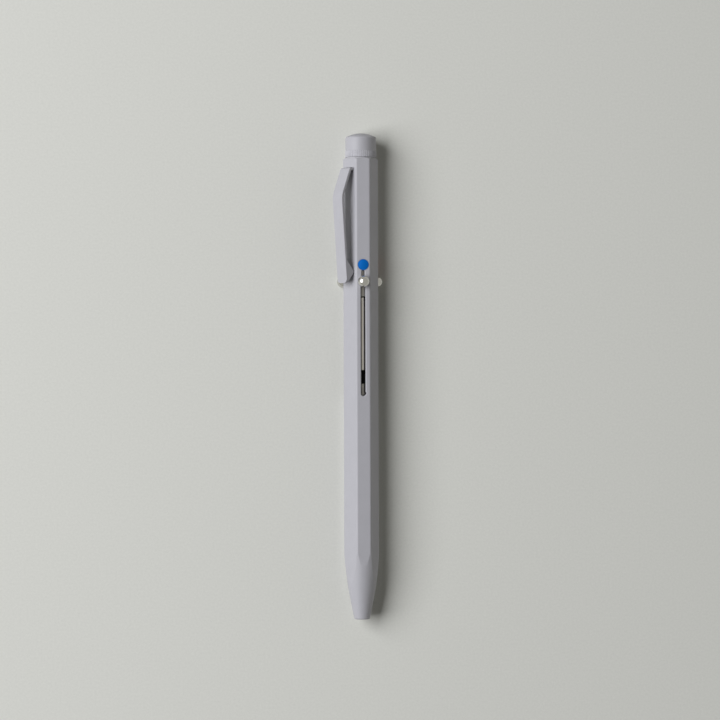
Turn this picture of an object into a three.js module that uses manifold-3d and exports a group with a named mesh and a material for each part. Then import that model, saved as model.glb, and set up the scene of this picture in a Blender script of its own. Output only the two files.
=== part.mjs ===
// Three-colour ballpoint pen with ball buttons.
// Sizes are in millimetres. The pen lies along Y with its writing end towards -Y and one slot facing up (+Z).
// Inside the pen group, Y is the distance from the writing end and the pen's axis is X = Z = 0.
import * as THREE from "three";
import { mergeVertices } from "three/addons/utils/BufferGeometryUtils.js";
import Module from "manifold-3d";

const wasm = await Module();
wasm.setup();

// Clearances
const RUNNING_GAP = 0.05;
const SEAT_GAP = 0.08;
const SLIDE_GAP = 0.15;

// Barrel
const PEN_LENGTH = 140;
const SLOT_FACET_APOTHEM = 4.78;
const PLAIN_FACET_APOTHEM = 4.14;
const EDGE_RADIUS = 0.7;
const BORE_RADIUS = 3.7;
const TOP_CHAMFER = 0.35;

// Nose
const NOSE_LENGTH = 19.2;
const NOSE_START_SLOPE = 0.062;
const NOSE_ARC_RADIUS = 105;
const NOSE_SLOPE = 0.2;
const MOUTH_RADIUS = 1.4;
const MOUTH_LENGTH = 3;
const MOUTH_EDGE_RADIUS = 0.4;
const SHOULDER_WIDTH = 0.45;

// Refills
const REFILL_OFFSET = 2.03;
const REFILL_LENGTH = 67;
const REFILL_RADIUS = 1.175;
const POINT_LENGTH = 5.2;
const POINT_CONE_LENGTH = 3.6;
const POINT_RADIUS = 0.98;
const WRITING_BALL_RADIUS = 0.36;
const REFILL_MOUTH_RADIUS = 0.92;
const REFILL_MOUTH_DEPTH = 2;
const COLLAR_RADIUS = 1.35;
const COLLAR_LENGTH = 3.95;

// Slides
const SLIDER_TRAVEL = 32.15;
const POINT_REACH = 2.7;
const SOCKET_DEPTH = 3.5;
const SOCKET_GAP = 0.095;
const CARRIAGE_RADIUS = 1.62;
const CARRIAGE_CHAMFER = 0.3;
const PIN_ABOVE_REFILL = 0.8;

// Ball buttons and their pins
const BALL_RADIUS = 1.68;
const BALL_FLAT_DEPTH = 0.72;
const BALL_LIFT = 0.25;
const PIN_NECK_WIDTH = 0.8;
const PIN_NECK_LENGTH = 0.8;
const PIN_SHANK_RADIUS = 0.5;
const PIN_THREAD_LENGTH = 0.95;

// Slots
const SLOT_WIDTH = 1.35;
const SLOT_NECK_WIDTH = 0.9;
const SLOT_NECK_LENGTH = 2.3;
const SLOT_NECK_GAP = 0.55;
const SLOT_FOOT_GAP = 0.35;
const LATCH_NOTCH_RADIUS = 0.42;
const LATCH_NOTCH_REACH = 0.22;
const SLOT_EDGE_CHAMFER = 0.2;

// Colour studs
const STUD_HEAD_RADIUS = 1.55;
const STUD_SEAT_DEPTH = 0.3;
const STUD_RISE = 0.35;
const STUD_SHANK_RADIUS = 0.7;
const STUD_SHANK_END = 2.9;

// Return springs
const WIRE_RADIUS = 0.1;
const COIL_RADIUS = 1.36;
const COILS = 17;
const SPRING_SPARE = 0.67;

// Plate, plug and bush inside the barrel
const PLATE_THICKNESS = 1.8;
const PLATE_ABOVE_POINT = 0.2;
const PLUG_LENGTH = 6.75;
const PLUG_HOLE_RADIUS = 1.3;
const PLUG_WALL = 0.5;
const BUSH_LENGTH = 8.15;
const BUSH_THREAD_RADIUS = 2;

// Cap
const CAP_HEIGHT = 6.95;
const CAP_RADIUS = 4.5;
const CAP_EDGE_RADIUS = 0.7;
const CROWN_RADIUS = 9;
const KNURL_LENGTH = 1.85;
const KNURL_TEETH = 48;
const KNURL_DEPTH = 0.14;
const KNURL_CHAMFER = 0.25;
const SPIGOT_LENGTH = 4.5;
const CAP_HOLLOW_RADIUS = 1.25;
const CAP_ROOF = 2.6;
const WASHER_THICKNESS = 0.15;
const WASHER_RADIUS = 4.15;

// Clip
const CLIP_WIDTH = 4.4;
const CLIP_THICKNESS = 0.8;
const CLIP_ROOT_DEPTH = 3.25;
const CLIP_SHOULDER_HEIGHT = 1.6;
const CLIP_RISE_SLOPE = 0.375;
const CLIP_RISE_LENGTH = 7.75;
const CLIP_ARM_SLOPE = 0.072;
const CLIP_ARM_LENGTH = 25;
const CLIP_CORNER_RADIUS = 1.1;
const CLIP_EDGE_CHAMFER = 0.12;
const CLIP_FOOT_LENGTH = 6.9;
const CLIP_FOOT_PLACE = 3.2;
const CLIP_FOOT_RADIUS = 0.8;
const CLIP_TOUCH_GAP = 0.12;
const CLIP_TANG_WIDTH = 2.4;
const CLIP_TANG_RADIUS = 3;
const CLIP_FLEX_ROOM = 0.26;

// Facet counts
const BODY_SEGMENTS = 60;
const BORE_SEGMENTS = 48;
const SMALL_SEGMENTS = 24;
const EDGE_STEPS = 4;
const COIL_STEPS = 8;
const WIRE_SIDES = 5;

// Places along the pen, counted from the writing end
const barrelLength = PEN_LENGTH - CAP_HEIGHT - WASHER_THICKNESS - 2 * RUNNING_GAP;
const pointPlace = SLIDER_TRAVEL - POINT_REACH;
const refillTop = pointPlace + REFILL_LENGTH;
const carriageFoot = refillTop - SOCKET_DEPTH;
const ballPlace = refillTop + PIN_ABOVE_REFILL;
const slotFoot = ballPlace - SLIDER_TRAVEL - PIN_NECK_LENGTH / 2 - SLOT_FOOT_GAP;
const slotNeckPlace = ballPlace + PIN_NECK_LENGTH / 2 + SLOT_NECK_GAP;
const slotHead = slotNeckPlace + SLOT_NECK_LENGTH;
const studPlace = slotHead + STUD_HEAD_RADIUS;
const plugFoot = studPlace - STUD_SHANK_RADIUS - RUNNING_GAP - PLUG_WALL;
const carriageTop = plugFoot - SLIDE_GAP;
const plateFoot = pointPlace + PLATE_ABOVE_POINT;
const plateTop = plateFoot + PLATE_THICKNESS;
const springSolidLength = (COILS + 1) * 2 * WIRE_RADIUS;
const collarFoot = plateTop + springSolidLength + SPRING_SPARE + SLIDER_TRAVEL;
const bushTop = barrelLength - 2 * RUNNING_GAP;
const bushFoot = bushTop - BUSH_LENGTH;
const capFoot = PEN_LENGTH - CAP_HEIGHT;

// Distances from the pen's axis
const ballCentre = SLOT_FACET_APOTHEM + BALL_LIFT + BALL_FLAT_DEPTH;
const carriageFace = REFILL_OFFSET + CARRIAGE_RADIUS;
const insertRadius = BORE_RADIUS - SEAT_GAP;

// Directions of the slots and of the clip, as turns about the pen's axis from straight up
const THIRD = (2 * Math.PI) / 3;
const COLOURS = [
  { name: "blue", turn: 0, shade: 0x0d66b5 },
  { name: "red", turn: THIRD, shade: 0xb8242a },
  { name: "black", turn: -THIRD, shade: 0x1c1c1e },
];
const CLIP_TURN = -THIRD / 2;

const MERGE_DISTANCE = 1e-4;

// A closed three.js geometry as a solid
function solidOf(geometry) {
  const bare = geometry.clone();
  bare.deleteAttribute("normal");
  bare.deleteAttribute("uv");
  const merged = mergeVertices(bare, MERGE_DISTANCE);
  const corners = merged.index.array;
  const kept = [];
  for (let i = 0; i < corners.length; i += 3) {
    const [a, b, c] = [corners[i], corners[i + 1], corners[i + 2]];
    if (a !== b && b !== c && c !== a) kept.push(a, b, c);
  }
  const mesh = new wasm.Mesh({
    numProp: 3,
    vertProperties: merged.attributes.position.array,
    triVerts: new Uint32Array(kept),
  });
  return new wasm.Manifold(mesh);
}

function geometryOf(solid) {
  const mesh = solid.getMesh();
  const geometry = new THREE.BufferGeometry();
  geometry.setAttribute("position", new THREE.BufferAttribute(mesh.vertProperties, 3));
  geometry.setIndex(new THREE.BufferAttribute(mesh.triVerts, 1));
  geometry.computeVertexNormals();
  return geometry;
}

// Points of a round corner, between two angles about a centre
function arc(centre, radius, from, to, steps) {
  const points = [];
  for (let i = 0; i <= steps; i++) {
    const angle = from + ((to - from) * i) / steps;
    points.push([centre[0] + radius * Math.cos(angle), centre[1] + radius * Math.sin(angle)]);
  }
  return points;
}

// A round body about Y. The profile's points are [radius, Y], going round it anticlockwise, from the axis
// back to the axis, or closed on itself.
function turned(profile, segments) {
  const points = profile.map(([radius, y]) => new THREE.Vector2(radius, y));
  return new THREE.LatheGeometry(points, segments);
}

// A round hole or disc about Y
function plainRound(radius, from, to, segments) {
  const profile = [
    [0, from],
    [radius, from],
    [radius, to],
    [0, to],
  ];
  return turned(profile, segments);
}

// A tube about Y
function ring(inner, outer, from, to, segments) {
  const profile = [
    [inner, from],
    [outer, from],
    [outer, to],
    [inner, to],
    [inner, from],
  ];
  return turned(profile, segments);
}

// A cross-section drawn in X and Z, drawn out along the pen
function alongPen(shape, from, to) {
  const geometry = new THREE.ExtrudeGeometry(shape, {
    depth: to - from,
    bevelEnabled: false,
    curveSegments: EDGE_STEPS,
  });
  geometry.rotateX(Math.PI / 2);
  geometry.translate(0, to, 0);
  return geometry;
}

// An outline drawn in X and Y, drawn out from the axis towards +Z
function outwards(shape, from, to, steps) {
  const geometry = new THREE.ExtrudeGeometry(shape, {
    depth: to - from,
    bevelEnabled: false,
    curveSegments: steps,
  });
  geometry.translate(0, 0, from);
  return geometry;
}

// An outline drawn in Y and Z, drawn out to a width across X with chamfered long edges
function acrossPen(shape, width) {
  const depth = width - 2 * CLIP_EDGE_CHAMFER;
  const geometry = new THREE.ExtrudeGeometry(shape, {
    depth,
    bevelThickness: CLIP_EDGE_CHAMFER,
    bevelSize: CLIP_EDGE_CHAMFER,
    bevelOffset: -CLIP_EDGE_CHAMFER,
    bevelSegments: 1,
  });
  geometry.translate(0, 0, -depth / 2);
  const turn = new THREE.Matrix4().makeBasis(
    new THREE.Vector3(0, 1, 0),
    new THREE.Vector3(0, 0, 1),
    new THREE.Vector3(1, 0, 0),
  );
  geometry.applyMatrix4(turn);
  return geometry;
}

// A round body about a line that points out from the axis at one place along the pen
function turnedOutwards(profile, place, segments) {
  const geometry = turned(profile, segments);
  geometry.rotateX(Math.PI / 2);
  geometry.translate(0, place, 0);
  return geometry;
}

// The barrel's cross-section: six sides at alternating distances from the axis, with round edges
function facetedSection() {
  const sixth = Math.PI / 3;
  const inSlot = SLOT_FACET_APOTHEM - EDGE_RADIUS;
  const inPlain = PLAIN_FACET_APOTHEM - EDGE_RADIUS;
  const shape = new THREE.Shape();
  for (let side = 0; side < 6; side++) {
    const facing = Math.PI / 2 + side * sixth;
    const [here, next] = side % 2 === 0 ? [inSlot, inPlain] : [inPlain, inSlot];
    const along = (next - here * Math.cos(sixth)) / Math.sin(sixth);
    const x = here * Math.cos(facing) - along * Math.sin(facing);
    const z = here * Math.sin(facing) + along * Math.cos(facing);
    shape.absarc(x, z, EDGE_RADIUS, facing, facing + sixth, false);
  }
  shape.closePath();
  return shape;
}

// The greatest radius of the barrel, at the round edges of its cross-section
function cornerRadius() {
  const sixth = Math.PI / 3;
  const here = SLOT_FACET_APOTHEM - EDGE_RADIUS;
  const along = (PLAIN_FACET_APOTHEM - EDGE_RADIUS - here * Math.cos(sixth)) / Math.sin(sixth);
  return Math.hypot(here, along) + EDGE_RADIUS;
}

// The turned envelope that rounds the nose and chamfers the barrel's top
function noseEnvelope() {
  const outer = cornerRadius();
  const past = outer + 1;
  const startAngle = Math.atan(NOSE_START_SLOPE);
  const endAngle = Math.atan(NOSE_SLOPE);
  const centreRadius = outer - NOSE_ARC_RADIUS * Math.cos(startAngle);
  const centrePlace = NOSE_LENGTH + NOSE_ARC_RADIUS * Math.sin(startAngle);
  const curve = arc([centreRadius, centrePlace], NOSE_ARC_RADIUS, -endAngle, -startAngle, 8);
  const [coneRadius, coneTop] = curve[0];
  const faceRadius = coneRadius - NOSE_SLOPE * coneTop;
  const roundTurn = Math.PI / 2 - endAngle;
  const roundReach = MOUTH_EDGE_RADIUS * Math.tan(roundTurn / 2);
  const roundCentre = [faceRadius - roundReach, MOUTH_EDGE_RADIUS];
  const rounding = arc(roundCentre, MOUTH_EDGE_RADIUS, -Math.PI / 2, -endAngle, 3);
  return turned(
    [
      [0, 0],
      ...rounding,
      ...curve,
      [past, NOSE_LENGTH + (past - outer) / NOSE_START_SLOPE],
      [past, barrelLength - TOP_CHAMFER - 1],
      [outer, barrelLength - TOP_CHAMFER],
      [outer - TOP_CHAMFER, barrelLength],
      [0, barrelLength],
    ],
    BODY_SEGMENTS,
  );
}

// The barrel's bore, from the mouth at the writing end to the open top
function boreCavity() {
  const past = 1;
  const shoulder = BORE_RADIUS - SHOULDER_WIDTH;
  return turned(
    [
      [0, -past],
      [MOUTH_RADIUS, -past],
      [MOUTH_RADIUS, MOUTH_LENGTH],
      [shoulder, plateFoot - RUNNING_GAP],
      [BORE_RADIUS, plateFoot - RUNNING_GAP],
      [BORE_RADIUS, barrelLength + past],
      [0, barrelLength + past],
    ],
    BORE_SEGMENTS,
  );
}

// One slot's outline: round foot, straight sides and a narrow neck under the colour stud
function slotOutline() {
  const half = SLOT_WIDTH / 2;
  const neck = SLOT_NECK_WIDTH / 2;
  const shape = new THREE.Shape();
  shape.absarc(0, slotFoot + half, half, Math.PI, 2 * Math.PI, false);
  shape.lineTo(half, slotNeckPlace - (half - neck));
  shape.lineTo(neck, slotNeckPlace);
  shape.absarc(0, slotHead - neck, neck, 0, Math.PI, false);
  shape.lineTo(-neck, slotNeckPlace);
  shape.lineTo(-half, slotNeckPlace - (half - neck));
  shape.closePath();
  return shape;
}

// The round latch notch at the side of a slot's foot, where the button's pin rests with the point out
function notchOutline() {
  const place = slotFoot + SLOT_FOOT_GAP + PIN_NECK_LENGTH / 2;
  const centre = SLOT_WIDTH / 2 + LATCH_NOTCH_REACH - LATCH_NOTCH_RADIUS;
  const shape = new THREE.Shape();
  shape.absarc(centre, place, LATCH_NOTCH_RADIUS, 0, 2 * Math.PI, false);
  return shape;
}

// A cutter from inside the bore out past the barrel, with a chamfer where it leaves a slot's facet
function chamferedCutter(outline, within, beyond) {
  const steps = EDGE_STEPS + 2;
  const straight = outwards(outline, within, beyond, steps);
  const chamfer = new THREE.ExtrudeGeometry(outline, {
    depth: beyond - SLOT_FACET_APOTHEM,
    curveSegments: steps,
    bevelThickness: SLOT_EDGE_CHAMFER,
    bevelSize: SLOT_EDGE_CHAMFER,
    bevelSegments: 1,
  });
  chamfer.translate(0, 0, SLOT_FACET_APOTHEM);
  return solidOf(straight).add(solidOf(chamfer));
}

function barrelSolid() {
  const beyond = cornerRadius() + 1;
  const within = 1;
  let barrel = solidOf(alongPen(facetedSection(), 0, barrelLength)).intersect(solidOf(noseEnvelope()));
  barrel = barrel.subtract(solidOf(boreCavity()));
  const slot = chamferedCutter(slotOutline(), within, beyond).add(
    chamferedCutter(notchOutline(), within, beyond),
  );
  const studSeat = turnedOutwards(
    [
      [0, within],
      [STUD_SHANK_RADIUS + RUNNING_GAP, within],
      [STUD_SHANK_RADIUS + RUNNING_GAP, SLOT_FACET_APOTHEM - STUD_SEAT_DEPTH],
      [STUD_HEAD_RADIUS + SEAT_GAP, SLOT_FACET_APOTHEM - STUD_SEAT_DEPTH],
      [STUD_HEAD_RADIUS + SEAT_GAP, beyond],
      [0, beyond],
    ],
    studPlace,
    SMALL_SEGMENTS,
  );
  for (const { turn } of COLOURS) {
    barrel = barrel.subtract(slot.rotate([0, THREE.MathUtils.radToDeg(turn), 0]));
    barrel = barrel.subtract(solidOf(studSeat.clone().rotateY(turn)));
  }
  const windowWidth = CLIP_TANG_WIDTH + 2 * SEAT_GAP;
  const windowHeight = CLIP_THICKNESS + 2 * SLIDE_GAP;
  const window = new THREE.BoxGeometry(windowWidth, windowHeight, beyond - within);
  window.translate(0, clipRootPlace(), (beyond + within) / 2);
  return barrel.subtract(solidOf(window.rotateY(CLIP_TURN)));
}

// The plate on which the return springs stand. Each refill passes it upright at rest and leaning when it is out,
// so each of the three openings runs from the refill's offset in towards the axis.
function springPlateSolid() {
  const holeRadius = REFILL_RADIUS + SLIDE_GAP;
  const leanPivot = refillTop - SOCKET_DEPTH / 2;
  const leanShare = (leanPivot - SLIDER_TRAVEL - plateFoot) / (leanPivot - pointPlace);
  const leanedOffset = REFILL_OFFSET * (1 - leanShare);
  const opening = new THREE.Shape();
  opening.absarc(0, REFILL_OFFSET, holeRadius, 0, Math.PI, false);
  opening.absarc(0, leanedOffset, holeRadius, Math.PI, 2 * Math.PI, false);
  opening.closePath();
  const past = 1;
  const cutter = alongPen(opening, plateFoot - past, plateTop + past);
  let plate = solidOf(plainRound(insertRadius, plateFoot, plateTop, BORE_SEGMENTS));
  for (const { turn } of COLOURS) plate = plate.subtract(solidOf(cutter.clone().rotateY(turn)));
  return plate;
}

// The plug above the carriages, held by the shanks of the three colour studs
function stopPlugSolid() {
  const studHole = turnedOutwards(
    [
      [0, STUD_SHANK_END - SLIDE_GAP],
      [STUD_SHANK_RADIUS + RUNNING_GAP, STUD_SHANK_END - SLIDE_GAP],
      [STUD_SHANK_RADIUS + RUNNING_GAP, BORE_RADIUS + 1],
      [0, BORE_RADIUS + 1],
    ],
    studPlace,
    SMALL_SEGMENTS,
  );
  let plug = solidOf(ring(PLUG_HOLE_RADIUS, insertRadius, plugFoot, plugFoot + PLUG_LENGTH, BORE_SEGMENTS));
  for (const { turn } of COLOURS) plug = plug.subtract(solidOf(studHole.clone().rotateY(turn)));
  return plug;
}

// The bush in the barrel's top, with a flat pocket for the clip's tang
function threadedBushSolid() {
  const pocketFoot = clipRootPlace() - CLIP_THICKNESS / 2 - 2 * SLIDE_GAP;
  const pocketFloor = CLIP_TANG_RADIUS - CLIP_THICKNESS / 2 - CLIP_FLEX_ROOM;
  const pocketHeight = barrelLength - pocketFoot;
  const pocket = new THREE.BoxGeometry(CLIP_TANG_WIDTH + 2 * SEAT_GAP, pocketHeight, BORE_RADIUS);
  pocket.translate(0, pocketFoot + pocketHeight / 2, pocketFloor + BORE_RADIUS / 2);
  const bush = solidOf(ring(BUSH_THREAD_RADIUS, insertRadius, bushFoot, bushTop, BORE_SEGMENTS));
  return bush.subtract(solidOf(pocket.rotateY(CLIP_TURN)));
}

// Where the clip passes through the barrel's wall
function clipRootPlace() {
  return barrelLength - CLIP_ROOT_DEPTH;
}

// The clip's middle line, as [Y, distance from the axis] with the radius of each bend
function clipLine() {
  const root = clipRootPlace();
  const shoulder = PLAIN_FACET_APOTHEM + CLIP_SHOULDER_HEIGHT - CLIP_THICKNESS / 2;
  const kneePlace = root - CLIP_RISE_LENGTH;
  const knee = shoulder + CLIP_RISE_SLOPE * CLIP_RISE_LENGTH;
  return [
    { at: [bushTop - SLIDE_GAP, CLIP_TANG_RADIUS], bend: 0 },
    { at: [root, CLIP_TANG_RADIUS], bend: 0.5 },
    { at: [root, shoulder], bend: 0.5 },
    { at: [kneePlace, knee], bend: 7 },
    { at: [kneePlace - CLIP_ARM_LENGTH, knee - CLIP_ARM_SLOPE * CLIP_ARM_LENGTH], bend: 0 },
  ];
}

// The foot under the clip's end, as a line from the arm down to the barrel and back
function clipFootLine() {
  const [endPlace, end] = clipLine().at(-1).at;
  const touch = PLAIN_FACET_APOTHEM + CLIP_TOUCH_GAP;
  const slope = (end - touch) / CLIP_FOOT_PLACE;
  const sharpEdge = touch - CLIP_FOOT_RADIUS * (Math.hypot(1, slope) - 1);
  return [
    { at: [endPlace + CLIP_FOOT_LENGTH, end + CLIP_ARM_SLOPE * CLIP_FOOT_LENGTH], bend: 0 },
    { at: [endPlace + CLIP_FOOT_PLACE, sharpEdge], bend: CLIP_FOOT_RADIUS },
    { at: [endPlace, end], bend: 0 },
  ];
}

// The middle line with its bends made round, as points with the line's direction at each
function bentLine(line, steps) {
  const points = [];
  line.forEach(({ at, bend }, i) => {
    const here = new THREE.Vector2(...at);
    if (i === 0 || i === line.length - 1) {
      const [from, to] = i === 0 ? [at, line[1].at] : [line[i - 1].at, at];
      const heading = new THREE.Vector2(...to).sub(new THREE.Vector2(...from)).normalize();
      points.push({ at: here, heading });
      return;
    }
    const before = here.clone().sub(new THREE.Vector2(...line[i - 1].at)).normalize();
    const after = new THREE.Vector2(...line[i + 1].at).sub(here).normalize();
    const turn = Math.atan2(before.cross(after), before.dot(after));
    const reach = bend * Math.tan(Math.abs(turn) / 2);
    const side = Math.sign(turn);
    const start = here.clone().addScaledVector(before, -reach);
    const centre = start.clone().add(new THREE.Vector2(-before.y, before.x).multiplyScalar(side * bend));
    for (let k = 0; k <= steps; k++) {
      const angle = (turn * k) / steps;
      const at = start.clone().rotateAround(centre, angle);
      const heading = before.clone().rotateAround(new THREE.Vector2(), angle);
      points.push({ at, heading });
    }
  });
  return points;
}

// A strip of even thickness about a middle line
function stripOutline(points, thickness) {
  const left = points.map(({ at, heading }) => [
    at.x - (heading.y * thickness) / 2,
    at.y + (heading.x * thickness) / 2,
  ]);
  const right = points.map(({ at, heading }) => [
    at.x + (heading.y * thickness) / 2,
    at.y - (heading.x * thickness) / 2,
  ]);
  const outline = [...left, ...right.reverse()];
  return new THREE.Shape(outline.map(([y, z]) => new THREE.Vector2(y, z)));
}

// The arm's outline as seen from outside, with round corners at its free end
function clipFace() {
  const half = CLIP_WIDTH / 2;
  const cornerPlace = half - CLIP_CORNER_RADIUS;
  const top = clipRootPlace() + CLIP_THICKNESS;
  const corner = clipLine().at(-1).at[0] + CLIP_ARM_SLOPE * CLIP_THICKNESS + CLIP_CORNER_RADIUS;
  const shape = new THREE.Shape();
  shape.moveTo(half, top);
  shape.lineTo(-half, top);
  shape.absarc(-cornerPlace, corner, CLIP_CORNER_RADIUS, Math.PI, 1.5 * Math.PI, false);
  shape.absarc(cornerPlace, corner, CLIP_CORNER_RADIUS, 1.5 * Math.PI, 2 * Math.PI, false);
  shape.closePath();
  return shape;
}

// The clip: a wide arm with a foot outside the barrel, and a narrow tang through its wall
function clipSolid() {
  const strip = stripOutline(bentLine(clipLine(), 5), CLIP_THICKNESS);
  const foot = new THREE.Shape(bentLine(clipFootLine(), 5).map(({ at }) => at));
  const face = outwards(clipFace(), PLAIN_FACET_APOTHEM + SEAT_GAP, PEN_LENGTH / 4, EDGE_STEPS);
  const arm = solidOf(acrossPen(strip, CLIP_WIDTH)).add(solidOf(acrossPen(foot, CLIP_WIDTH)));
  return arm.intersect(solidOf(face)).add(solidOf(acrossPen(strip, CLIP_TANG_WIDTH)));
}

// The carriage: a rod with a socket for the refill at its foot and a cross hole for the button's pin
function carriageSolid() {
  const body = turned(
    [
      [0, carriageFoot],
      [CARRIAGE_RADIUS, carriageFoot],
      [CARRIAGE_RADIUS, carriageTop - CARRIAGE_CHAMFER],
      [CARRIAGE_RADIUS - CARRIAGE_CHAMFER, carriageTop],
      [0, carriageTop],
    ],
    SMALL_SEGMENTS,
  );
  const socketTop = refillTop + RUNNING_GAP;
  const socketRadius = REFILL_RADIUS + SOCKET_GAP;
  const socket = plainRound(socketRadius, carriageFoot - 1, socketTop, SMALL_SEGMENTS);
  const pinHoleRadius = PIN_SHANK_RADIUS + RUNNING_GAP;
  const pinHole = plainRound(pinHoleRadius, -CARRIAGE_RADIUS / 2, CARRIAGE_RADIUS + 1, SMALL_SEGMENTS / 2);
  pinHole.rotateX(Math.PI / 2);
  pinHole.translate(0, ballPlace, 0);
  return solidOf(body).subtract(solidOf(socket)).subtract(solidOf(pinHole));
}

// The button's pin: round shank in the carriage, flat-sided neck in the slot, round end in the ball
function buttonPinSolid() {
  const neckFoot = carriageFace + RUNNING_GAP;
  const neckTop = ballCentre - BALL_FLAT_DEPTH - RUNNING_GAP;
  const shankFoot = REFILL_OFFSET - CARRIAGE_RADIUS / 2 + SLIDE_GAP;
  const steps = SMALL_SEGMENTS / 2;
  const pin = [
    [0, shankFoot],
    [PIN_SHANK_RADIUS, shankFoot],
    [PIN_SHANK_RADIUS, neckTop + PIN_THREAD_LENGTH],
    [0, neckTop + PIN_THREAD_LENGTH],
  ];
  const neck = new THREE.BoxGeometry(PIN_NECK_WIDTH, PIN_NECK_LENGTH, neckTop - neckFoot);
  neck.translate(0, ballPlace, (neckTop + neckFoot) / 2);
  return solidOf(turnedOutwards(pin, ballPlace, steps)).add(solidOf(neck));
}

// The ball button: a ball with a flat underside and a blind hole for the pin
function ballSolid() {
  const flatAngle = -Math.asin(BALL_FLAT_DEPTH / BALL_RADIUS);
  const flat = ballCentre - BALL_FLAT_DEPTH;
  const holeRadius = PIN_SHANK_RADIUS + RUNNING_GAP;
  const holeEnd = flat - RUNNING_GAP + PIN_THREAD_LENGTH + SLIDE_GAP;
  const dome = arc([0, ballCentre], BALL_RADIUS, flatAngle, Math.PI / 2, 9);
  dome.pop();
  const profile = [[0, holeEnd], [holeRadius, holeEnd], [holeRadius, flat], ...dome, [0, ballCentre + BALL_RADIUS]];
  return solidOf(turnedOutwards(profile, ballPlace, SMALL_SEGMENTS));
}

// The colour stud: low domed head in its seat, shank through the wall into the plug
function studSolid() {
  const seat = SLOT_FACET_APOTHEM - STUD_SEAT_DEPTH + RUNNING_GAP;
  const rim = SLOT_FACET_APOTHEM + STUD_RISE / 4;
  const top = SLOT_FACET_APOTHEM + STUD_RISE;
  const sag = top - rim;
  const domeRadius = (STUD_HEAD_RADIUS ** 2 + sag ** 2) / (2 * sag);
  const rimAngle = Math.acos(STUD_HEAD_RADIUS / domeRadius);
  const dome = arc([0, top - domeRadius], domeRadius, rimAngle, Math.PI / 2, 4);
  dome.pop();
  const profile = [
    [0, STUD_SHANK_END],
    [STUD_SHANK_RADIUS, STUD_SHANK_END],
    [STUD_SHANK_RADIUS, seat],
    [STUD_HEAD_RADIUS, seat],
    ...dome,
    [0, top],
  ];
  return solidOf(turnedOutwards(profile, studPlace, SMALL_SEGMENTS));
}

// The refill: writing point, tube and spring collar, with the tube's open end at the top
function refillSolid() {
  const ballTop = pointPlace + WRITING_BALL_RADIUS;
  const tip = arc([0, ballTop], WRITING_BALL_RADIUS, -Math.PI / 2, 0, 3);
  const profile = [
    ...tip,
    [POINT_RADIUS, pointPlace + POINT_CONE_LENGTH],
    [POINT_RADIUS, pointPlace + POINT_LENGTH],
    [REFILL_RADIUS, pointPlace + POINT_LENGTH],
    [REFILL_RADIUS, collarFoot],
    [COLLAR_RADIUS, collarFoot],
    [COLLAR_RADIUS, collarFoot + COLLAR_LENGTH],
    [REFILL_RADIUS, collarFoot + COLLAR_LENGTH],
    [REFILL_RADIUS, refillTop],
    [REFILL_MOUTH_RADIUS, refillTop],
    [REFILL_MOUTH_RADIUS, refillTop - REFILL_MOUTH_DEPTH],
    [0, refillTop - REFILL_MOUTH_DEPTH],
  ];
  profile[0][0] = 0;
  return solidOf(turned(profile, SMALL_SEGMENTS));
}

// The return spring: one round wire wound about the refill, from the plate up to the collar
function springGeometry() {
  const foot = plateTop + RUNNING_GAP + WIRE_RADIUS;
  const head = collarFoot - RUNNING_GAP - WIRE_RADIUS;
  const path = [];
  const steps = COILS * COIL_STEPS;
  for (let i = 0; i <= steps; i++) {
    const angle = (2 * Math.PI * i) / COIL_STEPS;
    const y = foot + ((head - foot) * i) / steps;
    path.push(new THREE.Vector3(COIL_RADIUS * Math.sin(angle), y, COIL_RADIUS * Math.cos(angle)));
  }
  const endRun = 2 * WIRE_RADIUS;
  path.unshift(path[0].clone().add(new THREE.Vector3(-endRun, 0, 0)));
  path.push(path[steps + 1].clone().add(new THREE.Vector3(endRun, 0, 0)));
  console.log("spring's least gap to itself, mm: " + leastGap(path).toFixed(2));
  return wireAlong(path);
}

// The least gap between turns of the wire, measured between points at least half a turn apart
function leastGap(path) {
  let least = Infinity;
  for (let i = 0; i < path.length; i++) {
    for (let k = i + COIL_STEPS / 2; k < path.length; k++) {
      least = Math.min(least, path[i].distanceTo(path[k]));
    }
  }
  return least - 2 * WIRE_RADIUS;
}

// A closed tube of WIRE_SIDES sides along a path that winds about Y
function wireAlong(path) {
  const positions = [];
  const index = [];
  path.forEach((point, i) => {
    const before = path[Math.max(i - 1, 0)];
    const after = path[Math.min(i + 1, path.length - 1)];
    const heading = after.clone().sub(before).normalize();
    const outward = new THREE.Vector3(point.x, 0, point.z).normalize();
    outward.addScaledVector(heading, -outward.dot(heading)).normalize();
    const upward = new THREE.Vector3().crossVectors(heading, outward);
    for (let side = 0; side < WIRE_SIDES; side++) {
      const angle = (2 * Math.PI * side) / WIRE_SIDES;
      const corner = point.clone();
      corner.addScaledVector(outward, WIRE_RADIUS * Math.cos(angle));
      corner.addScaledVector(upward, WIRE_RADIUS * Math.sin(angle));
      positions.push(corner.x, corner.y, corner.z);
    }
  });
  for (let i = 0; i + 1 < path.length; i++) {
    for (let side = 0; side < WIRE_SIDES; side++) {
      const next = (side + 1) % WIRE_SIDES;
      const [a, b] = [i * WIRE_SIDES + side, i * WIRE_SIDES + next];
      const [c, d] = [a + WIRE_SIDES, b + WIRE_SIDES];
      index.push(a, b, d, a, d, c);
    }
  }
  const last = (path.length - 1) * WIRE_SIDES;
  for (let side = 1; side + 1 < WIRE_SIDES; side++) {
    index.push(0, side + 1, side);
    index.push(last, last + side, last + side + 1);
  }
  const geometry = new THREE.BufferGeometry();
  geometry.setAttribute("position", new THREE.Float32BufferAttribute(positions, 3));
  geometry.setIndex(index);
  geometry.computeVertexNormals();
  return geometry;
}

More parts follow.
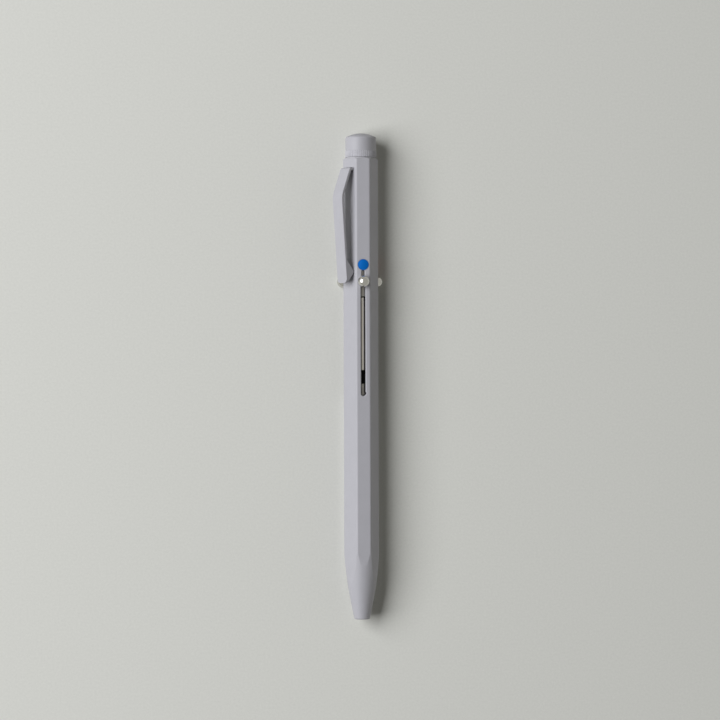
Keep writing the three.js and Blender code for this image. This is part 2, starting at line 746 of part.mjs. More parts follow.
// The knurl's outline: straight teeth all round
function knurlOutline() {
  const points = [];
  for (let i = 0; i < 2 * KNURL_TEETH; i++) {
    const angle = (Math.PI * i) / KNURL_TEETH;
    const radius = i % 2 === 0 ? CAP_RADIUS : CAP_RADIUS - KNURL_DEPTH;
    points.push(new THREE.Vector2(radius * Math.cos(angle), radius * Math.sin(angle)));
  }
  return new THREE.Shape(points);
}

// The cap: knurled band, plain side and low crown, with a hollow spigot that screws into the bush
function capSolid() {
  const sideRadius = CAP_RADIUS - KNURL_DEPTH / 2;
  const crownCentre = PEN_LENGTH - CROWN_RADIUS;
  const edgeRadius = sideRadius - CAP_EDGE_RADIUS;
  const crownEdge = Math.acos(edgeRadius / (CROWN_RADIUS - CAP_EDGE_RADIUS));
  const edgeCentre = [edgeRadius, crownCentre + (CROWN_RADIUS - CAP_EDGE_RADIUS) * Math.sin(crownEdge)];
  const rounding = arc(edgeCentre, CAP_EDGE_RADIUS, 0, crownEdge, 3);
  const crown = arc([0, crownCentre], CROWN_RADIUS, crownEdge, Math.PI / 2, 6);
  crown.pop();
  crown.shift();
  const spigotRadius = BUSH_THREAD_RADIUS - RUNNING_GAP;
  const spigotFoot = capFoot - SPIGOT_LENGTH;
  const knurlTop = capFoot + KNURL_LENGTH;
  const rootRadius = CAP_RADIUS - 2 * KNURL_DEPTH;
  const body = turned(
    [
      [0, spigotFoot],
      [spigotRadius, spigotFoot],
      [spigotRadius, capFoot],
      [rootRadius, capFoot],
      [rootRadius, knurlTop],
      [sideRadius, knurlTop],
      ...rounding,
      ...crown,
      [0, PEN_LENGTH],
    ],
    BORE_SEGMENTS,
  );
  const hollow = plainRound(CAP_HOLLOW_RADIUS, spigotFoot - 1, PEN_LENGTH - CAP_ROOF, SMALL_SEGMENTS);
  const knurl = solidOf(alongPen(knurlOutline(), capFoot, knurlTop));
  const chamfered = turned(
    [
      [0, capFoot - KNURL_CHAMFER],
      [CAP_RADIUS - 2 * KNURL_CHAMFER, capFoot - KNURL_CHAMFER],
      [CAP_RADIUS, capFoot + KNURL_CHAMFER],
      [CAP_RADIUS, PEN_LENGTH],
      [0, PEN_LENGTH],
    ],
    BORE_SEGMENTS,
  );
  return solidOf(body).add(knurl.intersect(solidOf(chamfered))).subtract(solidOf(hollow));
}

function capWasherSolid() {
  const foot = barrelLength + RUNNING_GAP;
  const inner = BUSH_THREAD_RADIUS + RUNNING_GAP;
  return solidOf(ring(inner, WASHER_RADIUS, foot, foot + WASHER_THICKNESS, BORE_SEGMENTS));
}

function finish(color, roughness, metalness) {
  return new THREE.MeshStandardMaterial({ color, roughness, metalness });
}

function piece(name, geometry, material) {
  const mesh = new THREE.Mesh(geometry, material);
  mesh.name = name;
  return mesh;
}

const lacquer = () => finish(0xb8b7bd, 0.5, 0.1);
const chrome = () => finish(0xd6d8da, 0.08, 1);
const brass = () => finish(0xc4a96a, 0.3, 1);
const steel = () => finish(0xb9b9b4, 0.3, 1);
const nickel = () => finish(0x8f8c86, 0.4, 1);
const blackPlastic = () => finish(0x242426, 0.45, 0);

const pen = new THREE.Group();
pen.add(piece("barrel", geometryOf(barrelSolid()), lacquer()));
pen.add(piece("spring_plate", geometryOf(springPlateSolid()), brass()));
pen.add(piece("stop_plug", geometryOf(stopPlugSolid()), blackPlastic()));
pen.add(piece("threaded_bush", geometryOf(threadedBushSolid()), brass()));
pen.add(piece("cap_washer", geometryOf(capWasherSolid()), lacquer()));
pen.add(piece("cap", geometryOf(capSolid()), lacquer()));

const clipSide = new THREE.Group();
clipSide.rotation.y = CLIP_TURN;
clipSide.add(piece("clip", geometryOf(clipSolid()), lacquer()));
pen.add(clipSide);

// One slot's moving parts and stud, in their own frame where +Z points out through the slot
function colourGroup({ name, turn, shade }) {
  const group = new THREE.Group();
  group.rotation.y = turn;
  group.add(piece("marker_" + name, geometryOf(studSolid()), finish(shade, 0.55, 0)));
  group.add(piece("ball_" + name, geometryOf(ballSolid()), chrome()));
  group.add(piece("button_pin_" + name, geometryOf(buttonPinSolid()), steel()));
  const rod = new THREE.Group();
  rod.position.z = REFILL_OFFSET;
  rod.add(piece("carriage_" + name, geometryOf(carriageSolid()), nickel()));
  rod.add(piece("refill_" + name, geometryOf(refillSolid()), steel()));
  rod.add(piece("spring_" + name, springGeometry(), steel()));
  group.add(rod);
  return group;
}
COLOURS.forEach((colour) => pen.add(colourGroup(colour)));

// The frame's origin is under the middle of the pen, on the surface it lies on
const box = new THREE.Box3().setFromObject(pen, true);
const middle = box.getCenter(new THREE.Vector3());
pen.position.set(-middle.x, -middle.y, -box.min.z);

const part = new THREE.Group();
part.add(pen);
export default part;
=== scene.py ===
import math

import bmesh
import bpy
from mathutils import Matrix, Vector


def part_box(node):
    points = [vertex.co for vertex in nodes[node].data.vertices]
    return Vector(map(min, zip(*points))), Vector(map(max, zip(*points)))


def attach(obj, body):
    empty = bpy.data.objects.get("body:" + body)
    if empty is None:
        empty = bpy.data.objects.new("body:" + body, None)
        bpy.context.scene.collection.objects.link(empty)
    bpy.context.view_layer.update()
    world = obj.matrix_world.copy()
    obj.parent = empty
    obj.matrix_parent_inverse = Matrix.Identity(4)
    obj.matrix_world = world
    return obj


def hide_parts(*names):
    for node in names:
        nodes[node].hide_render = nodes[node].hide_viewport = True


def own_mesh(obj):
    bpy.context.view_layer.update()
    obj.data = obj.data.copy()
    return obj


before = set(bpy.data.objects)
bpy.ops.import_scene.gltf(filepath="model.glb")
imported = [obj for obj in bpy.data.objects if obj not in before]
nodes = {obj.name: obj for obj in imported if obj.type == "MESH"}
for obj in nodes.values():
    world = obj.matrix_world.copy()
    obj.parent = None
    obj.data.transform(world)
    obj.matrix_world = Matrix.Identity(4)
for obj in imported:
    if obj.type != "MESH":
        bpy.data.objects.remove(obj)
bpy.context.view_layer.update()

MM = 0.001
MICRON = 0.000001

# Places in the row frame, in metres
NIB_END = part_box("barrel")[0].y
cap_low, cap_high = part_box("cap")
CAP_TOP = cap_high.y
AXIS = Vector((0.5 * (cap_low.x + cap_high.x), 0, 0.5 * (cap_low.z + cap_high.z)))

# The three slots, as turns in degrees about the pen's axis from straight up
SLOT_TURNS = {"blue": 0, "red": 120, "black": -120}


def pen_frame(turn=0, offset=0):
    """From a piece's own axes to the row frame. In its own axes Y is the distance from the writing end and
    Z points out through the slot at that turn; offset moves the piece's axis out from the pen's, in mm."""
    place = Matrix.Translation((AXIS.x, NIB_END, AXIS.z))
    return place @ Matrix.Rotation(math.radians(turn), 4, "Y") @ Matrix.Translation((0, 0, offset * MM))


def pen_places(node):
    """(least, greatest) distance of a CAD node from the writing end, in mm."""
    low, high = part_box(node)
    return (low.y - NIB_END) / MM, (high.y - NIB_END) / MM


# Pixels of the photograph: the pen's length, and the way from the pen's middle to the picture's
PEN_PIXELS = 485.5
PIXELS_RIGHT = -1.4
PIXELS_UP = 16.25
PIXEL = (CAP_TOP - NIB_END) / PEN_PIXELS

# Camera
IMAGE_SIZE = 720
VIEW_ROLL = math.radians(7.5)
IMAGE_TILT = math.radians(0.17)
CAMERA_DISTANCE = 0.9
CLIP_START = 0.01
SENSOR = 36


def make_camera():
    """It looks down, rolled about the pen's length, and the pen leans a little in its picture."""
    back = Vector((-math.sin(VIEW_ROLL), 0, math.cos(VIEW_ROLL)))
    right = Vector((math.cos(VIEW_ROLL), 0, math.sin(VIEW_ROLL)))
    up = Vector((0, 1, 0))
    tilted_right = right * math.cos(IMAGE_TILT) - up * math.sin(IMAGE_TILT)
    tilted_up = up * math.cos(IMAGE_TILT) + right * math.sin(IMAGE_TILT)
    middle = Vector((AXIS.x, 0.5 * (NIB_END + CAP_TOP), AXIS.z))
    target = middle + (tilted_right * PIXELS_RIGHT + tilted_up * PIXELS_UP) * PIXEL
    data = bpy.data.cameras.new("camera")
    data.sensor_width = SENSOR
    data.lens = SENSOR * CAMERA_DISTANCE / (IMAGE_SIZE * PIXEL)
    data.clip_start = CLIP_START
    camera = bpy.data.objects.new("camera", data)
    axes = Matrix((tilted_right, tilted_up, back)).transposed().to_4x4()
    camera.matrix_world = Matrix.Translation(target + back * CAMERA_DISTANCE) @ axes
    bpy.context.scene.collection.objects.link(camera)
    bpy.context.scene.camera = camera


make_camera()

# Materials, with colours from 0 to 255 and noise scales in waves per metre
LACQUER_COLOUR = (166, 165, 171)
# Lighter lacquer on the cap's knurled band: painted highlight for the light its teeth catch
KNURL_HIGHLIGHT_LIGHTNESS = 1.12
LACQUER_GLOSS = 0.4
PLASTIC_GLOSS = 0.12


def add_node(tree, kind, inputs=None, **settings):
    """A shader node with its settings. Each of its inputs is a value, or the socket that it is joined to."""
    node = tree.nodes.new("ShaderNode" + kind)
    for key, value in settings.items():
        setattr(node, key, value)
    for key, value in (inputs or {}).items():
        if isinstance(value, bpy.types.NodeSocket):
            tree.links.new(value, node.inputs[key])
        else:
            node.inputs[key].default_value = value
    return node


def linear(*colour):
    """An sRGB colour of 0 to 255 as the linear values that Blender's sockets take."""
    shares = [level / 255 for level in colour]
    return tuple(((share + 0.055) / 1.055) ** 2.4 if share > 0.04 else share / 12.92 for share in shares)


def shade(colour, factor):
    return tuple(level * factor for level in colour)


class Surface:
    """A new material, with short calls for the nodes in front of its shader."""

    def __init__(self, name):
        self.material = bpy.data.materials.new(name)
        self.material.use_nodes = True
        self.tree = self.material.node_tree
        self.shader = self.tree.nodes["Principled BSDF"]
        self.place = add_node(self.tree, "TexCoord").outputs["Object"]

    def join(self, socket, key):
        self.tree.links.new(socket, self.shader.inputs[key])

    def noise(self, scale, detail, roughness=0.5):
        inputs = {"Vector": self.place, "Scale": scale, "Detail": detail, "Roughness": roughness}
        return add_node(self.tree, "TexNoise", inputs).outputs["Fac"]

    def mottle(self, noise, base, least, most):
        """A base colour that a noise makes darker and lighter, between these two factors."""
        node = add_node(self.tree, "ValToRGB", {"Fac": noise})
        node.color_ramp.elements[0].color = (*shade(base, least), 1)
        node.color_ramp.elements[1].color = (*shade(base, most), 1)
        self.join(node.outputs["Color"], "Base Color")

    def vary_roughness(self, noise, least, most):
        inputs = {"Value": noise, "To Min": least, "To Max": most}
        self.join(add_node(self.tree, "MapRange", inputs).outputs["Result"], "Roughness")

    def bump(self, noise, depth, strength):
        inputs = {"Height": noise, "Distance": depth, "Strength": strength}
        self.join(add_node(self.tree, "Bump", inputs).outputs["Normal"], "Normal")


def lacquer_material(name, lightness=1):
    """Fine-grained matt grey lacquer. A lightness above 1 gives the lighter copy on the cap's knurled band:
    painted highlight.
    """
    surface = Surface(name)
    surface.shader.inputs["Specular IOR Level"].default_value = LACQUER_GLOSS
    cloud = surface.noise(scale=250, detail=9, roughness=0.8)
    surface.mottle(cloud, shade(linear(*LACQUER_COLOUR), lightness), least=0.92, most=1.08)
    grain = surface.noise(scale=9000, detail=3)
    surface.vary_roughness(grain, least=0.48, most=0.58)
    surface.bump(grain, depth=12 * MICRON, strength=0.5)
    return surface.material


def metal_material(name, colour, roughness, scale, depth):
    """Bare metal, faintly smeared, with a grain of this scale and depth."""
    surface = Surface(name)
    surface.shader.inputs["Metallic"].default_value = 1.0
    smear = surface.noise(scale=700, detail=3)
    surface.mottle(smear, linear(*colour), least=0.92, most=1)
    grain = surface.noise(scale, detail=3)
    surface.vary_roughness(grain, least=0.8 * roughness, most=1.25 * roughness)
    surface.bump(grain, depth, strength=0.4)
    return surface.material


def plastic_material(name, colour, roughness, depth):
    """Dull plastic or paint, with a grain of this depth."""
    surface = Surface(name)
    surface.shader.inputs["Specular IOR Level"].default_value = PLASTIC_GLOSS
    cloud = surface.noise(scale=900, detail=2)
    surface.mottle(cloud, linear(*colour), least=0.9, most=1.08)
    grain = surface.noise(scale=6000, detail=3)
    surface.vary_roughness(grain, least=0.85 * roughness, most=1.15 * roughness)
    surface.bump(grain, depth, strength=0.5)
    return surface.material


lacquer = lacquer_material("lacquer")
knurl_highlight_lacquer = lacquer_material("knurl_highlight_lacquer", KNURL_HIGHLIGHT_LIGHTNESS)
chrome = metal_material("polished_steel", (222, 220, 215), roughness=0.06, scale=3000, depth=MICRON)
steel = metal_material("plain_steel", (205, 201, 193), roughness=0.22, scale=5000, depth=3 * MICRON)
refill_steel = metal_material("refill_steel", (226, 221, 212), roughness=0.24, scale=5000, depth=3 * MICRON)
# Dull nickel on the carriages and the refills' points; on the refill tube below its collar this darker metal
# is painted shade
nickel_and_painted_shade = metal_material("dull_nickel", (166, 163, 158), roughness=0.38, scale=5000, depth=4 * MICRON)
brass = metal_material("brass", (205, 178, 112), roughness=0.3, scale=5000, depth=4 * MICRON)
gasket = plastic_material("gasket", (206, 205, 209), roughness=0.6, depth=6 * MICRON)
# Black plastic for the collars and the stop plug; in the refills' grooves it is painted shade
black_plastic_and_painted_shade = plastic_material("black_plastic_and_painted_shade", (4, 4, 5), roughness=0.7, depth=6 * MICRON)
stud_paint = {
    "blue": plastic_material("stud_blue", (0, 98, 182), roughness=0.55, depth=10 * MICRON),
    "red": plastic_material("stud_red", (186, 38, 42), roughness=0.5, depth=10 * MICRON),
    "black": plastic_material("stud_black", (30, 30, 32), roughness=0.5, depth=10 * MICRON),
}

# The finish of each CAD node that is shown
finishes = {
    "barrel": lacquer,
    "clip": lacquer,
    "cap_washer": gasket,
    "spring_plate": brass,
    "threaded_bush": brass,
    "stop_plug": black_plastic_and_painted_shade,
}
for colour in SLOT_TURNS:
    finishes["marker_" + colour] = stud_paint[colour]
    finishes["button_pin_" + colour] = steel
    finishes["carriage_" + colour] = nickel_and_painted_shade

for node, material in finishes.items():
    slots = nodes[node].data.materials
    slots.clear()
    slots.append(material)

# Smooth shading of these nodes' round forms, up to edges that turn by an angle in degrees
FINE_ANGLE = 13
COARSE_ANGLE = 24
FINELY_CUT_NODES = ("barrel", "cap_washer")
MERGE_DISTANCE = 0.5 * MICRON


def smooth_by_angle(angle):
    """A node group that joins a mesh's split vertices and shades it smooth, apart from the edges that turn by
    more than an angle in degrees."""
    group = bpy.data.node_groups.new("smooth_under_" + str(angle), "GeometryNodeTree")
    group.interface.new_socket("Mesh", in_out="INPUT", socket_type="NodeSocketGeometry")
    group.interface.new_socket("Mesh", in_out="OUTPUT", socket_type="NodeSocketGeometry")
    start = group.nodes.new("NodeGroupInput")
    joined = group.nodes.new("GeometryNodeMergeByDistance")
    joined.inputs["Distance"].default_value = MERGE_DISTANCE
    faces = group.nodes.new("GeometryNodeSetShadeSmooth")
    faces.domain = "FACE"
    edges = group.nodes.new("GeometryNodeSetShadeSmooth")
    edges.domain = "EDGE"
    end = group.nodes.new("NodeGroupOutput")
    chain = [start, joined, faces, edges, end]
    for before, after in zip(chain, chain[1:]):
        group.links.new(before.outputs[0], after.inputs[0])
    turn = group.nodes.new("GeometryNodeInputMeshEdgeAngle")
    gentle = group.nodes.new("ShaderNodeMath")
    gentle.operation = "LESS_THAN"
    gentle.inputs[1].default_value = math.radians(angle)
    group.links.new(turn.outputs["Unsigned Angle"], gentle.inputs[0])
    group.links.new(gentle.outputs["Value"], edges.inputs["Shade Smooth"])
    return group


def smooth(node, group):
    """Shades a CAD node by a group of smooth_by_angle, with its flats kept flat."""
    nodes[node].modifiers.new("smooth_by_angle", "NODES").node_group = group
    weighted = nodes[node].modifiers.new("even_flats", "WEIGHTED_NORMAL")
    weighted.keep_sharp = True
    weighted.weight = 100


fine, coarse = smooth_by_angle(FINE_ANGLE), smooth_by_angle(COARSE_ANGLE)
for node in finishes:
    smooth(node, fine if node in FINELY_CUT_NODES else coarse)

# Pieces that stand for CAD nodes
SHARP_ANGLE = 32


def put(made, name, body, matrix, materials):
    """Turns a bmesh into an object that rides on a body and stands for the CAD node of the same name."""
    bmesh.ops.recalc_face_normals(made, faces=made.faces)
    mesh = bpy.data.meshes.new(name + "_fine")
    made.to_mesh(mesh)
    made.free()
    mesh.transform(matrix)
    mesh.shade_smooth()
    mesh.set_sharp_from_angle(angle=math.radians(SHARP_ANGLE))
    for material in materials:
        mesh.materials.append(material)
    piece = bpy.data.objects.new(name + "_fine", mesh)
    bpy.context.scene.collection.objects.link(piece)
    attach(piece, body)
    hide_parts(name)
    return piece


def arc(centre, radius, start, end, steps):
    """Points (radius from the axis, place) on a circle between two angles in degrees."""
    turns = [math.radians(start + (end - start) * step / steps) for step in range(steps + 1)]
    return [(centre[0] + radius * math.cos(turn), centre[1] + radius * math.sin(turn)) for turn in turns]


def turned(profile, segments, zones=None, relief=None):
    """A round body about Y from points (radius, Y) in mm, starting and ending on the axis.
    zones gives the material's number for each band between two points, and relief(point, step) gives how
    deep the surface lies under its radius, in mm, at a step round the body."""
    made = bmesh.new()
    rings = []
    for point, (radius, y) in enumerate(profile):
        ring = []
        for step in range(1 if radius == 0 else segments):
            turn = 2 * math.pi * step / segments
            reach = (radius - (relief(point, step) if relief else 0)) * MM
            ring.append(made.verts.new((reach * math.sin(turn), y * MM, reach * math.cos(turn))))
        rings.append(ring)
    for band, (below, above) in enumerate(zip(rings, rings[1:])):
        for step in range(segments):
            lower, upper = below[step % len(below)], above[step % len(above)]
            lower_next, upper_next = below[(step + 1) % len(below)], above[(step + 1) % len(above)]
            corners = list(dict.fromkeys([lower, lower_next, upper_next, upper]))
            if len(corners) > 2:
                made.faces.new(corners).material_index = zones[band] if zones else 0
    return made


# Refills, in mm, with outlines as points (radius, distance from the tip or from the tube's foot)
REFILL_OFFSET = 2.03
REFILL_RADIUS = 1.175
WRITING_BALL_RADIUS = 0.35
POINT_LENGTH = 5.2
POINT_OUTLINE = [
    (0.4, 0.38),
    (0.5, 0.62),
    (0.52, 1.0),
    (0.56, 1.04),
    (0.96, 3.5),
    (0.98, 3.6),
    (0.98, POINT_LENGTH - 0.1),
    (1.0, POINT_LENGTH),
]
TUBE_OUTLINE = [
    (1.08, 0),
    (REFILL_RADIUS, 0.12),
    (REFILL_RADIUS, 0.9),
    (1.12, 1.0),
    (1.12, 1.15),
    (REFILL_RADIUS, 1.25),
]
COLLAR_RADIUS = 1.35
COLLAR_LENGTH = 3.95
COLLAR_FOOT_EDGE = 0.1
COLLAR_HEAD_EDGE = 0.15
SOCKET_DEPTH = 3.5
GROOVE_LENGTH = 0.35
GROOVE_DEPTH = 0.12
RIM_EDGE = 0.08
MOUTH_RADIUS = 0.92
MOUTH_EDGE_WIDTH = 0.08
MOUTH_EDGE_DEPTH = 0.06
MOUTH_DEPTH = 2
REFILL_SEGMENTS = 48
SPRING_GAP = 0.05

refill_finishes = [chrome, nickel_and_painted_shade, refill_steel, black_plastic_and_painted_shade]


def moved(outline, distance):
    return [(radius, y + distance) for radius, y in outline]


def make_refill(colour, turn):
    name = "refill_" + colour
    tip, top = pen_places(name)
    ball = arc((0, tip + WRITING_BALL_RADIUS), WRITING_BALL_RADIUS, start=-80, end=10, steps=8)
    collar = pen_places("spring_" + colour)[1] + SPRING_GAP
    collar_end = collar + COLLAR_LENGTH
    socket = top - SOCKET_DEPTH
    groove_foot = socket - GROOVE_LENGTH
    groove_radius = REFILL_RADIUS - GROOVE_DEPTH
    mouth_floor = top - MOUTH_DEPTH
    spans = [
        (chrome, [(0, tip)] + ball),
        (nickel_and_painted_shade, moved(POINT_OUTLINE, tip)),
        # Below its collar the refill tube is darker than above it: painted shade
        (nickel_and_painted_shade, moved(TUBE_OUTLINE, tip + POINT_LENGTH) + [(REFILL_RADIUS, collar)]),
        (black_plastic_and_painted_shade, [(COLLAR_RADIUS - COLLAR_FOOT_EDGE, collar)]),
        (black_plastic_and_painted_shade, [(COLLAR_RADIUS, collar + COLLAR_FOOT_EDGE)]),
        (black_plastic_and_painted_shade, [(COLLAR_RADIUS, collar_end - COLLAR_HEAD_EDGE)]),
        (black_plastic_and_painted_shade, [(COLLAR_RADIUS - COLLAR_HEAD_EDGE, collar_end), (REFILL_RADIUS, collar_end)]),
        (refill_steel, [(REFILL_RADIUS, groove_foot)]),
        # A black band in the groove under the carriage's foot: painted shade of the dark gap there
        (black_plastic_and_painted_shade, [(groove_radius, groove_foot), (groove_radius, socket), (REFILL_RADIUS, socket)]),
        (refill_steel, [(REFILL_RADIUS, top - RIM_EDGE), (REFILL_RADIUS - RIM_EDGE, top)]),
        (refill_steel, [(MOUTH_RADIUS + MOUTH_EDGE_WIDTH, top), (MOUTH_RADIUS, top - MOUTH_EDGE_DEPTH)]),
        (refill_steel, [(MOUTH_RADIUS, mouth_floor), (0, mouth_floor)]),
    ]
    profile = [point for _, points in spans for point in points]
    zones = [refill_finishes.index(finish) for finish, points in spans for _ in points][1:]
    made = turned(profile, REFILL_SEGMENTS, zones)
    piece = put(made, name, name, pen_frame(turn, REFILL_OFFSET), refill_finishes)


# Return springs, in mm
COILS = 17
CLOSED_COILS = 0.8
CLOSED_SPACING = 1.05
WIRE_RADIUS = 0.1
COIL_RADIUS = 1.36
COIL_STEPS = 20
WIRE_SIDES = 8


def coil_height(coil, foot, head):
    """Where the wire's middle is after so many coils. The coils at both ends lie close to each other."""
    closed = CLOSED_COILS * 2 * WIRE_RADIUS * CLOSED_SPACING
    if coil < CLOSED_COILS:
        return foot + closed * coil / CLOSED_COILS
    if coil > COILS - CLOSED_COILS:
        return head - closed * (COILS - coil) / CLOSED_COILS
    share = (coil - CLOSED_COILS) / (COILS - 2 * CLOSED_COILS)
    return foot + closed + (head - foot - 2 * closed) * share


def wire_ring(step, foot, head):
    """Points round the wire, in mm, at a step along it."""
    turn = 2 * math.pi * step / COIL_STEPS
    outward = Vector((math.sin(turn), 0, math.cos(turn)))
    middle = outward * COIL_RADIUS + Vector((0, coil_height(step / COIL_STEPS, foot, head), 0))
    along = Vector((0, 1, 0))
    angles = [2 * math.pi * side / WIRE_SIDES for side in range(WIRE_SIDES)]
    offsets = [outward * math.cos(angle) + along * math.sin(angle) for angle in angles]
    return [middle + offset * WIRE_RADIUS for offset in offsets]


def make_spring(colour, turn):
    name = "spring_" + colour
    foot, head = pen_places(name)
    made = bmesh.new()
    rings = []
    for step in range(COILS * COIL_STEPS + 1):
        ring = wire_ring(step, foot + WIRE_RADIUS, head - WIRE_RADIUS)
        rings.append([made.verts.new(point * MM) for point in ring])
    for before, after in zip(rings, rings[1:]):
        for side in range(WIRE_SIDES):
            following = (side + 1) % WIRE_SIDES
            made.faces.new([before[side], before[following], after[following], after[side]])
    made.faces.new(rings[0])
    made.faces.new(rings[-1])
    piece = put(made, name, "refill_" + colour, pen_frame(turn, REFILL_OFFSET), [steel])
    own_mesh(piece)


# Ball buttons, in mm
BALL_RADIUS = 1.68
BALL_FLAT_DEPTH = 0.72
BALL_SEGMENTS = 64
PIN_HOLE_RADIUS = 0.55
PIN_HOLE_DEPTH = 1.05


def out_through_slot(turn, place):
    """For a body turned about Y: stands it out through a slot, at a place in mm along the pen."""
    stand = Matrix.Translation((0, place * MM, 0)) @ Matrix.Rotation(math.radians(90), 4, "X")
    return pen_frame(turn) @ stand


def make_ball(colour, turn):
    name = "ball_" + colour
    matrix = out_through_slot(turn, 0.5 * sum(pen_places(name)))
    corners = [matrix.inverted() @ vertex.co for vertex in nodes[name].data.vertices]
    flat = min(corner.y for corner in corners) / MM
    centre = flat + BALL_FLAT_DEPTH
    dome_start = -math.degrees(math.asin(BALL_FLAT_DEPTH / BALL_RADIUS))
    hole = [(0, flat + PIN_HOLE_DEPTH), (PIN_HOLE_RADIUS, flat + PIN_HOLE_DEPTH), (PIN_HOLE_RADIUS, flat)]
    dome = arc((0, centre), BALL_RADIUS, start=dome_start, end=90, steps=28)[:-1]
    profile = hole + dome + [(0, centre + BALL_RADIUS)]
    piece = put(turned(profile, BALL_SEGMENTS), name, "slider_" + colour, matrix, [chrome])


for colour, turn in SLOT_TURNS.items():
    make_refill(colour, turn)
    make_spring(colour, turn)
    make_ball(colour, turn)

# Cap with its knurled band and its threaded spigot, in mm
CAP_HEIGHT = 6.95
CAP_SIDE_RADIUS = 4.43
CAP_EDGE_RADIUS = 0.7
CROWN_RADIUS = 9
CAP_HOLLOW_RADIUS = 1.25
CAP_ROOF = 2.6
KNURL_RADIUS = 4.5
KNURL_LENGTH = 1.85
KNURL_DEPTH = 0.14
KNURL_EDGE = 0.07
KNURL_TEETH = 48
TOOTH_DEPTHS = (0, 0, 0, 0, 1, 1)
SPIGOT_RADIUS = 1.95
SPIGOT_TIP_EDGE = 0.2
SPIGOT_ROOT_EDGE = 0.1
THREAD_PITCH = 0.75
THREAD_DEPTH = 0.2
THREAD_STEPS = 6
THREAD_RUNOUT = 0.4


def cap_crown(top):
    """The rounding at the side's upper edge and the crown, up to the axis."""
    edge = CAP_SIDE_RADIUS - CAP_EDGE_RADIUS
    meeting = math.degrees(math.acos(edge / (CROWN_RADIUS - CAP_EDGE_RADIUS)))
    rise = (CROWN_RADIUS - CAP_EDGE_RADIUS) * math.sin(math.radians(meeting))
    centre = top - CROWN_RADIUS
    rounding = arc((edge, centre + rise), CAP_EDGE_RADIUS, start=0, end=meeting, steps=8)
    crown = arc((0, centre), CROWN_RADIUS, start=meeting, end=90, steps=14)[1:-1]
    return rounding + crown + [(0, top)]


def make_cap():
    spigot_foot, top = pen_places("cap")
    foot = top - CAP_HEIGHT
    knurl_top = foot + KNURL_LENGTH
    rings = int((foot - spigot_foot - 2 * THREAD_RUNOUT) / THREAD_PITCH * THREAD_STEPS) + 1
    inside = [(0, top - CAP_ROOF), (CAP_HOLLOW_RADIUS, top - CAP_ROOF), (CAP_HOLLOW_RADIUS, spigot_foot)]
    tip = [(SPIGOT_RADIUS - SPIGOT_TIP_EDGE, spigot_foot), (SPIGOT_RADIUS, spigot_foot + SPIGOT_TIP_EDGE)]
    thread_foot = spigot_foot + THREAD_RUNOUT
    thread = [(SPIGOT_RADIUS, thread_foot + ring * THREAD_PITCH / THREAD_STEPS) for ring in range(rings)]
    root = [(SPIGOT_RADIUS, foot - SPIGOT_ROOT_EDGE), (SPIGOT_RADIUS + SPIGOT_ROOT_EDGE, foot)]
    knurl = [
        (KNURL_RADIUS - KNURL_EDGE, foot),
        (KNURL_RADIUS, foot + KNURL_EDGE),
        (KNURL_RADIUS, knurl_top - KNURL_EDGE),
    ]
    profile = inside + tip + thread + root + knurl + [(CAP_SIDE_RADIUS, knurl_top)] + cap_crown(top)
    first_turn = len(inside + tip)
    first_tooth = len(inside + tip + thread + root)
    after_teeth = first_tooth + len(knurl)
    # The knurled band takes the lighter lacquer, which is painted highlight
    zones = [int(first_tooth <= band < after_teeth) for band in range(len(profile) - 1)]
    segments = KNURL_TEETH * len(TOOTH_DEPTHS)

    def relief(point, step):
        """The teeth's gaps on the knurled band and the thread's groove on the spigot."""
        if first_tooth <= point < after_teeth:
            return KNURL_DEPTH * TOOTH_DEPTHS[step % len(TOOTH_DEPTHS)]
        if first_turn < point < first_turn + len(thread) - 1:
            along = ((point - first_turn) / THREAD_STEPS - step / segments) % 1
            return THREAD_DEPTH * (1 - abs(2 * along - 1))
        return 0

    made = turned(profile, segments, zones, relief)
    piece = put(made, "cap", "cap", pen_frame(), [lacquer, knurl_highlight_lacquer])


make_cap()

# Floor, room and window
FLOOR_REACH = 2.0
FLOOR_COLOUR = (211, 211, 206)
FLOOR_ROUGHNESS = 0.9
ROOM_LIGHT_START = 0.35
ROOM_LIGHT_LEAST = 0.03
ROOM_LIGHT_MOST = 0.77
WALL_TONE = 0.42
ROOM_COLOUR = (1, 0.995, 0.925)
WINDOW_PLACE = Vector((-1.065, 0.2, 0.909))
WINDOW_SIZE = (1.35, 0.95)
WINDOW_WATTS = 28
WINDOW_COLOUR = (0.98, 0.99, 1.0)


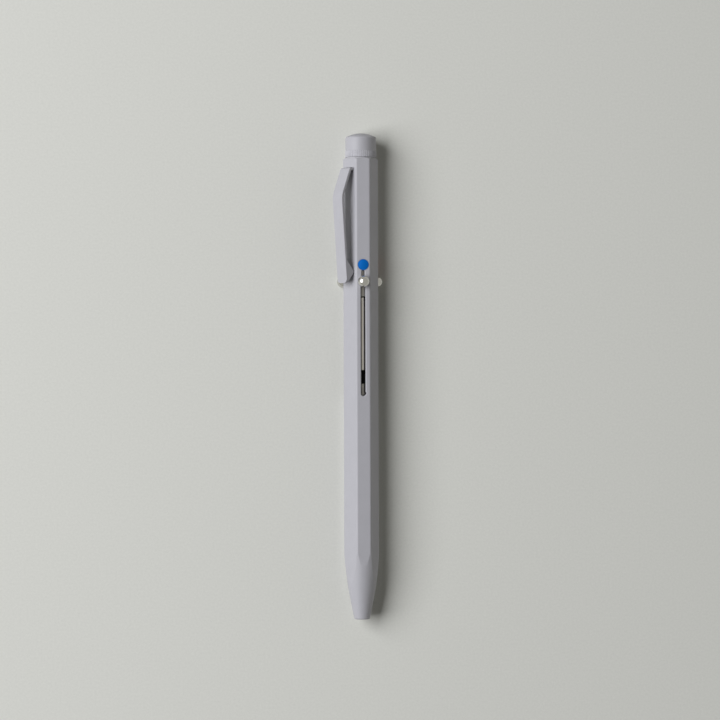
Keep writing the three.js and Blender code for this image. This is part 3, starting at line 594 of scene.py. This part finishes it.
def make_floor():
    mesh = bpy.data.meshes.new("floor")
    corners = [(-1, -1, 0), (1, -1, 0), (1, 1, 0), (-1, 1, 0)]
    mesh.from_pydata([Vector(corner) * FLOOR_REACH for corner in corners], [], [(0, 1, 2, 3)])
    floor = bpy.data.objects.new("floor", mesh)
    bpy.context.scene.collection.objects.link(floor)
    surface = Surface("floor_surface")
    surface.shader.inputs["Roughness"].default_value = FLOOR_ROUGHNESS
    fibres = surface.noise(scale=1500, detail=5, roughness=0.7)
    surface.mottle(fibres, linear(*FLOOR_COLOUR), least=0.9, most=1.1)
    surface.bump(fibres, depth=10 * MICRON, strength=0.5)
    mesh.materials.append(surface.material)


def make_world():
    """A plain room that is lighter across from the window. Gloss and the camera see pale walls instead."""
    world = bpy.data.worlds.new("world")
    world.use_nodes = True
    tree = world.node_tree
    sides = add_node(tree, "SeparateXYZ", {"Vector": add_node(tree, "TexCoord").outputs["Generated"]})
    span = {"From Min": ROOM_LIGHT_START, "To Min": ROOM_LIGHT_LEAST, "To Max": ROOM_LIGHT_MOST}
    light = add_node(tree, "MapRange", {"Value": sides.outputs["X"], **span})
    rays = add_node(tree, "LightPath").outputs
    walls = rays["Is Camera Ray"]
    for kind in ("Is Glossy Ray", "Is Transmission Ray"):
        walls = add_node(tree, "Math", {0: walls, 1: rays[kind]}, operation="MAXIMUM").outputs["Value"]
    levels = {"Factor": walls, "A": light.outputs["Result"], "B": WALL_TONE}
    strength = add_node(tree, "Mix", levels, data_type="FLOAT")
    background = tree.nodes["Background"]
    background.inputs["Color"].default_value = (*ROOM_COLOUR, 1)
    tree.links.new(strength.outputs["Result"], background.inputs["Strength"])
    bpy.context.scene.world = world


def make_window():
    """A wide soft lamp, turned to the middle of the row frame."""
    data = bpy.data.lights.new("window", "AREA")
    data.shape = "RECTANGLE"
    data.size, data.size_y = WINDOW_SIZE
    data.energy = WINDOW_WATTS
    data.color = WINDOW_COLOUR
    lamp = bpy.data.objects.new("window", data)
    facing = (-WINDOW_PLACE).to_track_quat("-Z", "Y")
    lamp.matrix_world = Matrix.Translation(WINDOW_PLACE) @ facing.to_matrix().to_4x4()
    bpy.context.scene.collection.objects.link(lamp)


make_floor()
make_world()
make_window()

bpy.context.scene.view_settings.view_transform = "Standard"
